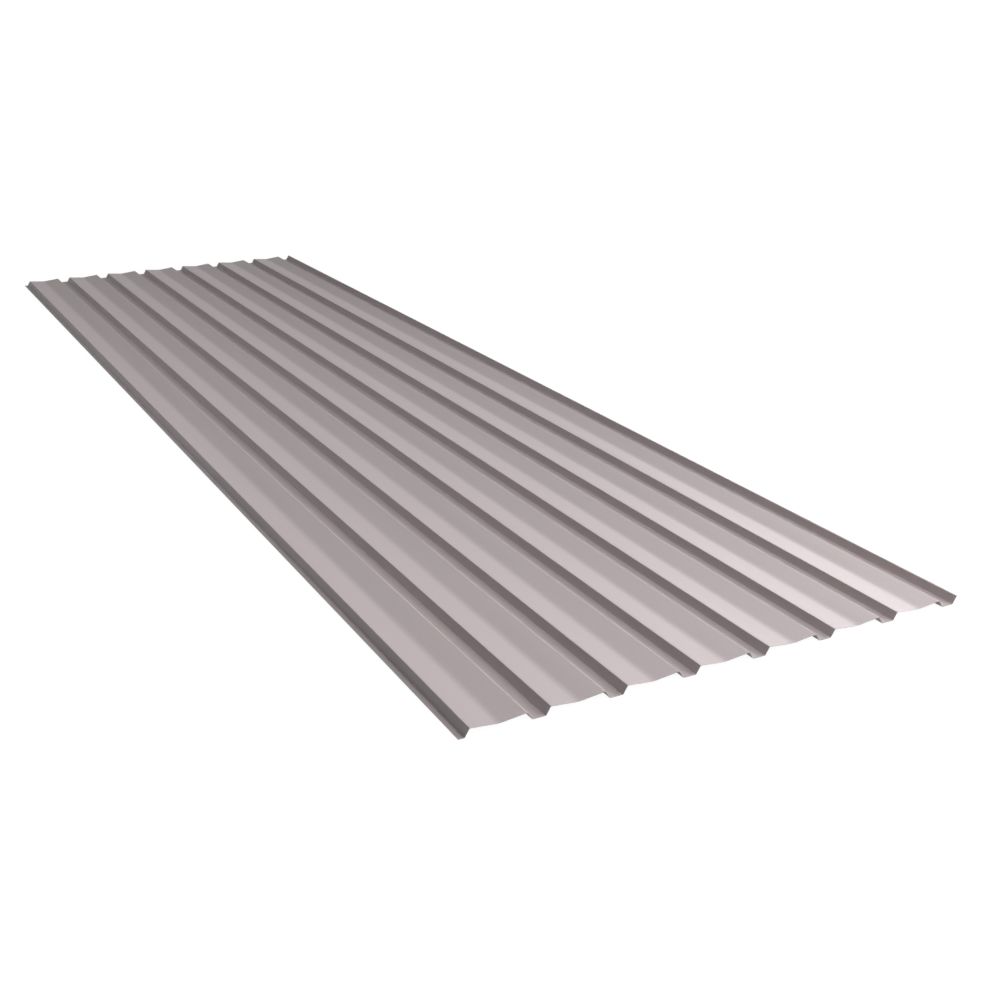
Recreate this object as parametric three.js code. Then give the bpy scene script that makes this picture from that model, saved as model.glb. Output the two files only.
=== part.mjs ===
// Profiled steel cladding sheet: one roll-formed piece of coated coil.
// Narrow grooves run the length of the sheet, between wide crests that dip to a soft crease.
// Units are millimetres. X runs across the sheet, Y along it and Z up.
// The undersides of the groove floors lie at z = 0, and the origin is under the sheet's middle.

import * as THREE from "three";

// The sheet as it is sold
const LENGTH = 3800;
const THICKNESS = 0.6;

// The rolled section, measured on the middle line of the steel
const PITCH = 150; // from one groove to the next
const PITCH_COUNT = 7; // the cover width is this many pitches
const DEPTH = 15; // from a groove floor up to the edge of a crest
const GROOVE_FLOOR = 26; // between the feet of a groove's two walls
const WALL_RUN = 9; // how far a wall leans over its height
const DISH = 5.5; // how far the crease lies below the edges of its crest
const CREASE_WIDTH = 16; // the rounded stretch in the middle of a crest
const INSIDE_BEND_RADIUS = 1.7;

// The two long edges, each a flat strip past its last bend
const LAP_FLANGE = 10.6; // low edge, which lies on the next sheet's groove floor
const EDGE_LIP = 1.6; // high edge, just past the top of the last wall

// How finely round stretches are faceted: a bend gets twice as many facets as this
const CURVE_SEGMENTS = 3;

// Worked out from the sizes above
const CREST = PITCH - GROOVE_FLOOR - 2 * WALL_RUN;
const BEND_RADIUS = INSIDE_BEND_RADIUS + THICKNESS / 2;
const WALL_ANGLE = Math.atan2(DEPTH, WALL_RUN);
const BEND_REACH = BEND_RADIUS * Math.tan(WALL_ANGLE / 2);
const DISH_ANGLE = Math.atan2(DISH, CREST / 2);
const CREASE_RADIUS = CREASE_WIDTH / 2 / Math.sin(DISH_ANGLE);
const LOW_EDGE = -BEND_REACH - LAP_FLANGE;
const LAST_WALL = PITCH_COUNT * PITCH;
const HIGH_EDGE = LAST_WALL + WALL_RUN + BEND_REACH + EDGE_LIP;

/** A corner of the middle line, with the radius that its bend is rounded to. */
function corner(x, y, radius = BEND_RADIUS) {
  return { x, y, radius };
}

/** The corners of a wall that rises to the right, from its foot to its top. */
function risingWall(foot) {
  return [corner(foot, 0), corner(foot + WALL_RUN, DEPTH)];
}

/** The corners of the dished crest right of a rising wall, and of the falling wall behind it. */
function crestAndFallingWall(foot) {
  const start = foot + WALL_RUN;
  const crease = corner(start + CREST / 2, DEPTH - DISH, CREASE_RADIUS);
  const end = start + CREST;
  return [crease, corner(end, DEPTH), corner(end + WALL_RUN, 0)];
}

/** Every corner of the middle line, from the low edge to the high one, with both free ends. */
function middleLine() {
  const line = [corner(LOW_EDGE, 0)];
  for (let foot = 0; foot < LAST_WALL; foot += PITCH) {
    line.push(...risingWall(foot), ...crestAndFallingWall(foot));
  }
  line.push(...risingWall(LAST_WALL), corner(HIGH_EDGE, DEPTH));
  return line;
}

/** The angle of the way from one corner to another. */
function heading(from, to) {
  return Math.atan2(to.y - from.y, to.x - from.x);
}

/** The arc that rounds one corner. Its side is 1 for a turn to the left and -1 to the right. */
function bendAt(before, here, after) {
  const arriving = heading(before, here);
  const leaving = heading(here, after);
  const side = Math.sign(leaving - arriving);
  const reach = here.radius * Math.tan(Math.abs(leaving - arriving) / 2);
  const inwards = arriving + (side * Math.PI) / 2;
  return {
    x: here.x - reach * Math.cos(arriving) + here.radius * Math.cos(inwards),
    y: here.y - reach * Math.sin(arriving) + here.radius * Math.sin(inwards),
    radius: here.radius,
    start: arriving - (side * Math.PI) / 2,
    end: leaving - (side * Math.PI) / 2,
    side,
  };
}

/** Adds one face of the steel to the outline, offset to the left of the middle line. */
function addFace(outline, bends, offset, backwards) {
  const order = backwards ? [...bends].reverse() : bends;
  for (const { x, y, radius, start, end, side } of order) {
    const [from, to] = backwards ? [end, start] : [start, end];
    const clockwise = side < 0 !== backwards;
    outline.absarc(x, y, radius - side * offset, from, to, clockwise);
  }
}

/** The closed cross-section: out along the underside and back along the top. */
function sheetSection() {
  const line = middleLine();
  const bends = line.slice(1, -1).map((here, i) => bendAt(line[i], here, line[i + 2]));
  const half = THICKNESS / 2;
  const outline = new THREE.Shape();
  outline.moveTo(LOW_EDGE, half);
  outline.lineTo(LOW_EDGE, -half);
  addFace(outline, bends, -half, false);
  outline.lineTo(HIGH_EDGE, DEPTH - half);
  outline.lineTo(HIGH_EDGE, DEPTH + half);
  addFace(outline, bends, half, true);
  outline.closePath();
  return outline;
}

/** The sheet, its section extruded along the grooves and stood the right way up. */
function profiledSheet() {
  const geometry = new THREE.ExtrudeGeometry(sheetSection(), {
    depth: LENGTH,
    bevelEnabled: false,
    curveSegments: CURVE_SEGMENTS,
  });
  const sheet = new THREE.Mesh(geometry, coatedSteel());
  sheet.name = "profiled_sheet";
  sheet.rotation.x = Math.PI / 2;
  sheet.position.set(-(LOW_EDGE + HIGH_EDGE) / 2, LENGTH / 2, THICKNESS / 2);
  return sheet;
}

/** Smooth grey coil coating with a faint warm cast and a satin sheen. */
function coatedSteel() {
  return new THREE.MeshStandardMaterial({
    name: "coated_steel",
    color: 0xbeb5b5,
    roughness: 0.45,
    metalness: 0.3,
  });
}

const part = new THREE.Group();
part.name = "profiled_cladding_sheet";
part.add(profiledSheet());

export default part;
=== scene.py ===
"""Looks of the profiled cladding sheet: finely rolled steel with its coatings, in a plain studio."""

import math

import bpy
import numpy as np
from mathutils import Matrix, Vector, noise


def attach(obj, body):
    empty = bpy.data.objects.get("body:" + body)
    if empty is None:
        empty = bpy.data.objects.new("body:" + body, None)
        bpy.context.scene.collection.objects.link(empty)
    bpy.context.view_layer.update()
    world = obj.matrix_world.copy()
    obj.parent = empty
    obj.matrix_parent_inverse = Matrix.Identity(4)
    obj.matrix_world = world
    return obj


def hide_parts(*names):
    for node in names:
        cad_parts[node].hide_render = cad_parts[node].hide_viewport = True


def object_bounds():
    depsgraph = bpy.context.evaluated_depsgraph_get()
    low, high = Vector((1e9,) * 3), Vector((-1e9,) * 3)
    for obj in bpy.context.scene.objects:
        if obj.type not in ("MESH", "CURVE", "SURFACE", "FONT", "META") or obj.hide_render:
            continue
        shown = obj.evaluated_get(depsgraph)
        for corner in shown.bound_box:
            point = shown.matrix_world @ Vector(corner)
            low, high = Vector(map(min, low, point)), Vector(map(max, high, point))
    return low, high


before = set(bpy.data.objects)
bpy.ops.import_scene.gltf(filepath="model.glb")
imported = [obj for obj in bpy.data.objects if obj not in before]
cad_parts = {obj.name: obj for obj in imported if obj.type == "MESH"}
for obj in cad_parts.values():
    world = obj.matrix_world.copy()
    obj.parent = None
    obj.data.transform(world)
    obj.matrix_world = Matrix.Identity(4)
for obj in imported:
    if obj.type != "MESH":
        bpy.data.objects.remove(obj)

CAD_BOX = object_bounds()
MM = 0.001

# The rolled section, as the CAD part has it
THICKNESS = 0.6 * MM
PITCH = 150 * MM
PITCH_COUNT = 7
DEPTH = 15 * MM
GROOVE_FLOOR = 26 * MM
WALL_RUN = 9 * MM
DISH = 5.5 * MM
CREASE_WIDTH = 16 * MM
BEND_RADIUS = 1.7 * MM + THICKNESS / 2
LAP_FLANGE = 10.6 * MM
EDGE_LIP = 1.6 * MM

# How finely the steel is meshed
BEND_STEPS = 8
CREASE_STEPS = 8
FLAT_STEP = 7 * MM  # across the flats
ROW_STEP = 40 * MM  # along the length
EDGE_ROUNDING = 0.08 * MM
EDGE_STEPS = 2
EDGE_ANGLE = math.radians(60)  # only the cut edges turn this much
SHARP_ANGLE = math.radians(35)

# The faint waviness that wide flats of rolled steel have
WAVE_HEIGHT = 0.3 * MM
WAVE_LENGTH = 0.45
WAVES_APART = 3.7  # how far apart in the noise neighbouring flats lie, which keeps them unlike
LEAST_WAVY_FLAT = 35 * MM  # narrower flats stay true

# Materials: linear colours, with grains in metres along X, Y and Z
TOPCOAT_COLOR = (0.513, 0.447, 0.453)
BACKCOAT_COLOR = (0.50, 0.455, 0.455)
CUT_STEEL_COLOR = (0.42, 0.42, 0.43)
TOPCOAT_ROUGHNESS = 0.5
BACKCOAT_ROUGHNESS = 0.6
CUT_STEEL_ROUGHNESS = 0.4
CUT_STEEL_METALLIC = 0.8
COATING_SPECULAR = 0.15
NOISE_RANGE = (0.25, 0.75)  # where nearly all of a noise's values lie
CLOUD_GRAIN = (0.18, 0.5, 0.18)
ROLLER_GRAIN = (2.5 * MM, 0.6, 2.5 * MM)
ROLLER_HEIGHT = 0.002 * MM
ROLLER_ROUGHNESS = 0.03  # how far the roller lines move the roughness up and down
PEEL_GRAIN = (1.2 * MM, 1.2 * MM, 1.2 * MM)
SCORE_GRAIN = (0.4 * MM, 0.4 * MM, 4 * MM)
SCORE_HEIGHT = 0.02 * MM
SCORE_VARIATION = 0.25  # how much darker and lighter than its colour the steel gets

# The sheet's material slots
TOPCOAT_SLOT = 0
BACKCOAT_SLOT = 1
CUT_STEEL_SLOT = 2

# Camera, fitted to the sheet's outlines in the photograph, which is 1000 pixels wide
IMAGE_WIDTH = 1000
FOCAL_LENGTH_PX = 1384.6
CAMERA_PLACE = (-1.3689, -3.6355, 1.1577)
CAMERA_YAW = 27.658  # degrees from +Y towards +X
CAMERA_PITCH = 21.214  # degrees down
CAMERA_ROLL = -0.233
SENSOR_WIDTH = 36

# Studio
FLOOR_REACH = 150
FLOOR_GAP = 0.3 * MM  # keeps the floor off the undersides of the groove floors
FLOOR_COLOR = 0.95
FLOOR_GLOW = 0.9  # how much of the floor's look by the sheet is its own glow, and not its lit self
FLOOR_WHITE = 1.065  # the glow's strength, over 1 so that the mix is plain white outside the shadow
FLOOR_FADE = (1.9, 3.5)  # metres from the sheet's middle between which the glow takes over
WORLD_STRENGTH = 0.04

# What the softboxes point at, and how wide and high they are
SHEET_MIDDLE = (0, 0, 0)
NEAR_END = (0.3, -1.5, 0)
NARROW_BOX = (1.2, 1.0)
WIDE_BOX = (2.0, 2.0)


# ---- The section's middle line ----

def section_corners():
    """The corners of the middle line as (x, z, bend radius), from the low edge to the high one."""
    wall_angle = math.atan2(DEPTH, WALL_RUN)
    reach = BEND_RADIUS * math.tan(wall_angle / 2)
    crest = PITCH - GROOVE_FLOOR - 2 * WALL_RUN
    crease_radius = CREASE_WIDTH / 2 / math.sin(math.atan2(DISH, crest / 2))
    corners = [(-reach - LAP_FLANGE, 0, None)]
    for count in range(PITCH_COUNT):
        foot = count * PITCH
        top = foot + WALL_RUN
        corners += [
            (foot, 0, BEND_RADIUS),
            (top, DEPTH, BEND_RADIUS),
            (top + crest / 2, DEPTH - DISH, crease_radius),
            (top + crest, DEPTH, BEND_RADIUS),
            (top + crest + WALL_RUN, 0, BEND_RADIUS),
        ]
    foot = PITCH_COUNT * PITCH
    top = foot + WALL_RUN
    corners += [(foot, 0, BEND_RADIUS), (top, DEPTH, BEND_RADIUS)]
    corners.append((top + reach + EDGE_LIP, DEPTH, None))
    return corners


def bend_stations(before, corner, after):
    """Points of the arc that rounds a corner, as rows of (x, z, heading)."""
    arriving = math.atan2(corner[1] - before[1], corner[0] - before[0])
    leaving = math.atan2(after[1] - corner[1], after[0] - corner[0])
    turn = leaving - arriving
    side = math.copysign(1, turn)
    radius = corner[2]
    reach = radius * math.tan(abs(turn) / 2)
    centre_x = corner[0] - reach * math.cos(arriving) - side * radius * math.sin(arriving)
    centre_z = corner[1] - reach * math.sin(arriving) + side * radius * math.cos(arriving)
    steps = BEND_STEPS if radius == BEND_RADIUS else CREASE_STEPS
    headings = np.linspace(arriving, leaving, steps + 1)
    xs = centre_x + side * radius * np.sin(headings)
    zs = centre_z - side * radius * np.cos(headings)
    return np.column_stack([xs, zs, headings])


def flat_stations(start, end):
    """Points between two bends, without the bends' own ends, as rows of (x, z, heading)."""
    width = math.dist(start[:2], end[:2])
    steps = max(1, round(width / FLAT_STEP))
    shares = np.linspace(0, 1, steps + 1)[1:-1, None]
    return start + (end - start) * shares


def section_stations():
    """The middle line as rows of (x, z, heading), how far each may wave, and its flat's number."""
    corners = section_corners()
    bends = [bend_stations(*corners[i - 1:i + 2]) for i in range(1, len(corners) - 1)]
    first = np.array([[corners[0][0], corners[0][1], 0.0]])
    last = np.array([[corners[-1][0], corners[-1][1], 0.0]])
    rows = []
    freedom = []
    flats = []
    for index, (here, following) in enumerate(zip([first] + bends, bends + [last])):
        rows.append(here)
        freedom.append(np.zeros(len(here)))
        flats.append(np.full(len(here), index))
        between = flat_stations(here[-1], following[0])
        width = math.dist(here[-1][:2], following[0][:2])
        share = np.hypot(*(between[:, :2] - here[-1, :2]).T) / width
        wavy = width > LEAST_WAVY_FLAT
        rows.append(between)
        freedom.append(np.sin(np.pi * share) ** 2 * wavy)
        flats.append(np.full(len(between), index))
    rows.append(last)
    freedom.append(np.zeros(1))
    flats.append(np.full(1, len(bends)))
    stations = np.concatenate(rows)
    middle = (stations[0, 0] + stations[-1, 0]) / 2
    stations[:, 0] -= middle
    stations[:, 1] += THICKNESS / 2
    return stations, np.concatenate(freedom), np.concatenate(flats)


# ---- The sheet's mesh ----

def waves(flats, y):
    """How far the middle of each flat stands off its true plane, from -1 to 1, at one place along Y."""
    places = [Vector((flat * WAVES_APART, y / WAVE_LENGTH, 0)) for flat in flats]
    return np.array([noise.noise(place) for place in places])


def sheet_vertices():
    """Both faces of the steel, topside first, as an array of (face, row, station, xyz)."""
    stations, freedom, flats = section_stations()
    normals = np.column_stack([-np.sin(stations[:, 2]), np.cos(stations[:, 2])])
    half_length = (CAD_BOX[1].y - CAD_BOX[0].y) / 2
    row_count = round(2 * half_length / ROW_STEP) + 1
    ys = np.linspace(-half_length, half_length, row_count)
    points = np.zeros((2, row_count, len(stations), 3))
    for row, y in enumerate(ys):
        lift = WAVE_HEIGHT * freedom * waves(flats, y)
        for face, side in enumerate((1, -1)):
            offset = lift + side * THICKNESS / 2
            points[face, row, :, 0] = stations[:, 0] + normals[:, 0] * offset
            points[face, row, :, 1] = y
            points[face, row, :, 2] = stations[:, 1] + normals[:, 1] * offset
    return points


def strip(first, second):
    """Quads between two runs of vertex numbers."""
    return np.column_stack([first[:-1], second[:-1], second[1:], first[1:]])


def sheet_faces(shape):
    """Quads of the closed sheet, with the material slot of each."""
    numbers = np.arange(np.prod(shape)).reshape(shape)
    top, under = numbers
    topside = np.concatenate([strip(b, a) for a, b in zip(top[:-1], top[1:])])
    underside = np.concatenate([strip(a, b) for a, b in zip(under[:-1], under[1:])])
    cut = np.concatenate([
        strip(top[0], under[0]),
        strip(under[-1], top[-1]),
        strip(under[:, 0], top[:, 0]),
        strip(top[:, -1], under[:, -1]),
    ])
    quads = np.concatenate([topside, underside, cut])
    slots = [TOPCOAT_SLOT, BACKCOAT_SLOT, CUT_STEEL_SLOT]
    return quads, np.repeat(slots, [len(topside), len(underside), len(cut)])


def make_sheet(materials):
    """The rolled sheet, with rounded cut edges and normals that keep its flats flat."""
    points = sheet_vertices()
    quads, slots = sheet_faces(points.shape[:3])
    mesh = bpy.data.meshes.new("rolled_sheet")
    mesh.from_pydata(points.reshape(-1, 3).tolist(), [], quads.tolist())
    for material in materials:
        mesh.materials.append(material)
    mesh.polygons.foreach_set("material_index", slots)
    mesh.shade_smooth()
    mesh.set_sharp_from_angle(angle=SHARP_ANGLE)
    sheet = bpy.data.objects.new("rolled_sheet", mesh)
    bpy.context.scene.collection.objects.link(sheet)
    rounding = sheet.modifiers.new("edge_rounding", "BEVEL")
    rounding.width = EDGE_ROUNDING
    rounding.segments = EDGE_STEPS
    rounding.limit_method = "ANGLE"
    rounding.angle_limit = EDGE_ANGLE
    rounding.material = CUT_STEEL_SLOT
    normals = sheet.modifiers.new("flat_normals", "WEIGHTED_NORMAL")
    normals.keep_sharp = True
    return sheet


# ---- Materials ----

def shade(color, factor):
    """A colour made darker or lighter."""
    return [channel * factor for channel in color]


class Finish:
    """A Principled material whose textures follow the sheet's own coordinates, in metres."""

    def __init__(self, name, color, roughness, metallic=0.0):
        self.material = bpy.data.materials.new(name)
        self.material.use_nodes = True
        self.nodes = self.material.node_tree.nodes
        self.links = self.material.node_tree.links
        self.shader = self.nodes["Principled BSDF"]
        self.shader.inputs["Base Color"].default_value = (*color, 1)
        self.shader.inputs["Roughness"].default_value = roughness
        self.shader.inputs["Metallic"].default_value = metallic
        self.place = self.nodes.new("ShaderNodeTexCoord").outputs["Object"]

    def noise(self, grain, detail=2.0):
        """Noise whose grains have these sizes along X, Y and Z."""
        mapping = self.nodes.new("ShaderNodeMapping")
        mapping.inputs["Scale"].default_value = [1 / size for size in grain]
        self.links.new(self.place, mapping.inputs["Vector"])
        texture = self.nodes.new("ShaderNodeTexNoise")
        texture.inputs["Scale"].default_value = 1.0
        texture.inputs["Detail"].default_value = detail
        self.links.new(mapping.outputs["Vector"], texture.inputs["Vector"])
        return texture.outputs["Fac"]

    def spread(self, value, low, high):
        """Turns noise into a number between low and high."""
        ramp = self.nodes.new("ShaderNodeMapRange")
        ramp.inputs["From Min"].default_value, ramp.inputs["From Max"].default_value = NOISE_RANGE
        ramp.inputs["To Min"].default_value = low
        ramp.inputs["To Max"].default_value = high
        self.links.new(value, ramp.inputs["Value"])
        return ramp.outputs["Result"]

    def tint(self, value, color, variation):
        """Makes the surface a little darker and lighter than its colour, by noise."""
        mix = self.nodes.new("ShaderNodeMix")
        mix.data_type = "RGBA"
        mix.inputs["A"].default_value = (*shade(color, 1 - variation), 1)
        mix.inputs["B"].default_value = (*shade(color, 1 + variation), 1)
        self.links.new(value, mix.inputs["Factor"])
        self.links.new(mix.outputs["Result"], self.shader.inputs["Base Color"])

    def bump(self, *layers):
        """Raises the surface by layers of (noise, height in metres)."""
        normal = None
        for value, height in layers:
            node = self.nodes.new("ShaderNodeBump")
            node.inputs["Strength"].default_value = 1.0
            node.inputs["Distance"].default_value = height
            self.links.new(value, node.inputs["Height"])
            if normal:
                self.links.new(normal, node.inputs["Normal"])
            normal = node.outputs["Normal"]
        self.links.new(normal, self.shader.inputs["Normal"])


def coated_face(name, color, roughness, variation, peel_height):
    """Coil coating: fine orange peel, faint lengthwise roller lines and slow clouding."""
    finish = Finish(name, color, roughness)
    finish.shader.inputs["Specular IOR Level"].default_value = COATING_SPECULAR
    clouding = finish.noise(CLOUD_GRAIN, detail=3)
    finish.tint(clouding, color, variation)
    roller_lines = finish.noise(ROLLER_GRAIN, detail=3)
    uneven = finish.spread(roller_lines, roughness - ROLLER_ROUGHNESS, roughness + ROLLER_ROUGHNESS)
    finish.links.new(uneven, finish.shader.inputs["Roughness"])
    peel = finish.noise(PEEL_GRAIN)
    finish.bump((roller_lines, ROLLER_HEIGHT), (peel, peel_height))
    return finish.material


def cut_steel():
    """Sheared steel, scored across its thickness by the blade."""
    finish = Finish("cut_steel", CUT_STEEL_COLOR, CUT_STEEL_ROUGHNESS, CUT_STEEL_METALLIC)
    scores = finish.noise(SCORE_GRAIN)
    finish.tint(scores, CUT_STEEL_COLOR, SCORE_VARIATION)
    finish.bump((scores, SCORE_HEIGHT))
    return finish.material


# ---- Studio and camera ----

def seen_directly(nodes, links):
    """1 for rays from the camera, a reflection or glass, and 0 for those that only carry light."""
    path = nodes.new("ShaderNodeLightPath")
    total = path.outputs["Is Camera Ray"]
    for name in ("Is Glossy Ray", "Is Transmission Ray"):
        larger = nodes.new("ShaderNodeMath")
        larger.operation = "MAXIMUM"
        links.new(total, larger.inputs[0])
        links.new(path.outputs[name], larger.inputs[1])
        total = larger.outputs[0]
    return total


def floor_material():
    """Pale paper that glows where it is seen, so that it looks white and keeps a faint shadow."""
    material = bpy.data.materials.new("floor")
    material.use_nodes = True
    nodes = material.node_tree.nodes
    links = material.node_tree.links
    nodes.clear()
    paper = nodes.new("ShaderNodeBsdfDiffuse")
    paper.inputs["Color"].default_value = (FLOOR_COLOR, FLOOR_COLOR, FLOOR_COLOR, 1)
    white = nodes.new("ShaderNodeEmission")
    white.inputs["Strength"].default_value = FLOOR_WHITE
    place = nodes.new("ShaderNodeTexCoord").outputs["Object"]
    distance = nodes.new("ShaderNodeVectorMath")
    distance.operation = "LENGTH"
    links.new(place, distance.inputs[0])
    glow = nodes.new("ShaderNodeMapRange")
    glow.inputs["From Min"].default_value, glow.inputs["From Max"].default_value = FLOOR_FADE
    glow.inputs["To Min"].default_value = FLOOR_GLOW
    glow.inputs["To Max"].default_value = 1.0
    links.new(distance.outputs["Value"], glow.inputs["Value"])
    share = nodes.new("ShaderNodeMath")
    share.operation = "MULTIPLY"
    links.new(seen_directly(nodes, links), share.inputs[0])
    links.new(glow.outputs["Result"], share.inputs[1])
    mix = nodes.new("ShaderNodeMixShader")
    links.new(share.outputs[0], mix.inputs["Fac"])
    links.new(paper.outputs[0], mix.inputs[1])
    links.new(white.outputs[0], mix.inputs[2])
    output = nodes.new("ShaderNodeOutputMaterial")
    links.new(mix.outputs[0], output.inputs["Surface"])
    return material


def make_floor():
    """A level floor far wider than any view of the sheet."""
    mesh = bpy.data.meshes.new("floor")
    r = FLOOR_REACH
    mesh.from_pydata([(-r, -r, 0), (r, -r, 0), (r, r, 0), (-r, r, 0)], [], [(0, 1, 2, 3)])
    mesh.materials.append(floor_material())
    floor = bpy.data.objects.new("floor", mesh)
    floor.location.z = -FLOOR_GAP
    bpy.context.scene.collection.objects.link(floor)


def make_world():
    """Even light from all round, which looks white where it is seen."""
    world = bpy.data.worlds.new("studio")
    world.use_nodes = True
    nodes = world.node_tree.nodes
    links = world.node_tree.links
    nodes.clear()
    strength = nodes.new("ShaderNodeMix")
    strength.inputs["A"].default_value = WORLD_STRENGTH
    strength.inputs["B"].default_value = 1.0
    links.new(seen_directly(nodes, links), strength.inputs["Factor"])
    background = nodes.new("ShaderNodeBackground")
    background.inputs["Color"].default_value = (1, 1, 1, 1)
    links.new(strength.outputs["Result"], background.inputs["Strength"])
    output = nodes.new("ShaderNodeOutputWorld")
    links.new(background.outputs[0], output.inputs["Surface"])
    bpy.context.scene.world = world


def aim(lamp, towards):
    """Turns a lamp so that its light falls along a direction."""
    lamp.rotation_euler = Vector(towards).to_track_quat("-Z", "Y").to_euler()


def make_sun(name, azimuth, elevation, spread, strength):
    """Light from one side of the sky. Azimuth runs from +Y towards +X, all angles in degrees."""
    data = bpy.data.lights.new(name, "SUN")
    data.energy = strength
    data.angle = math.radians(spread)
    sun = bpy.data.objects.new(name, data)
    bpy.context.scene.collection.objects.link(sun)
    azimuth = math.radians(azimuth)
    elevation = math.radians(elevation)
    level = math.cos(elevation)
    aim(sun, (-math.sin(azimuth) * level, -math.cos(azimuth) * level, -math.sin(elevation)))


def make_softbox(name, place, target, size, power):
    """A rectangular soft lamp that shows neither to the camera nor in the sheet's gloss."""
    data = bpy.data.lights.new(name, "AREA")
    data.shape = "RECTANGLE"
    data.size, data.size_y = size
    data.energy = power
    box = bpy.data.objects.new(name, data)
    bpy.context.scene.collection.objects.link(box)
    box.location = place
    box.visible_camera = False
    box.visible_glossy = False
    aim(box, Vector(target) - Vector(place))


def make_camera():
    """The photograph's viewpoint."""
    yaw, pitch, roll = (math.radians(a) for a in (CAMERA_YAW, CAMERA_PITCH, CAMERA_ROLL))
    ahead = math.cos(pitch)
    forward = Vector((math.sin(yaw) * ahead, math.cos(yaw) * ahead, -math.sin(pitch)))
    level = Vector((math.cos(yaw), -math.sin(yaw), 0))
    upright = level.cross(forward)
    right = level * math.cos(roll) + upright * math.sin(roll)
    up = right.cross(forward)
    data = bpy.data.cameras.new("camera")
    data.sensor_width = SENSOR_WIDTH
    data.sensor_fit = "HORIZONTAL"
    data.lens = FOCAL_LENGTH_PX * SENSOR_WIDTH / IMAGE_WIDTH
    data.clip_end = 2 * FLOOR_REACH
    camera = bpy.data.objects.new("camera", data)
    bpy.context.scene.collection.objects.link(camera)
    turn = Matrix((right, up, -forward)).transposed().to_4x4()
    camera.matrix_world = Matrix.Translation(CAMERA_PLACE) @ turn
    bpy.context.scene.camera = camera


topcoat = coated_face(
    "topcoat", TOPCOAT_COLOR, TOPCOAT_ROUGHNESS, variation=0.015, peel_height=0.015 * MM)
backcoat = coated_face(
    "backcoat", BACKCOAT_COLOR, BACKCOAT_ROUGHNESS, variation=0.02, peel_height=0.01 * MM)
sheet = make_sheet([topcoat, backcoat, cut_steel()])
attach(sheet, "root")
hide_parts("profiled_sheet")

make_camera()
make_floor()
make_world()
make_sun("low_side_light", azimuth=60, elevation=14, spread=40, strength=2.28)
make_softbox("front_right_box", (3.0, -4.5, 1.0), NEAR_END, NARROW_BOX, power=77)
make_softbox("front_high_box", (1.6, -3.5, 2.8), NEAR_END, NARROW_BOX, power=75)
make_softbox("right_high_box", (3.0, -3.0, 2.2), NEAR_END, NARROW_BOX, power=41)
make_softbox("left_fill_box", (-2.5, 0, 2.5), SHEET_MIDDLE, WIDE_BOX, power=18)
bpy.context.scene.view_settings.view_transform = "Standard"
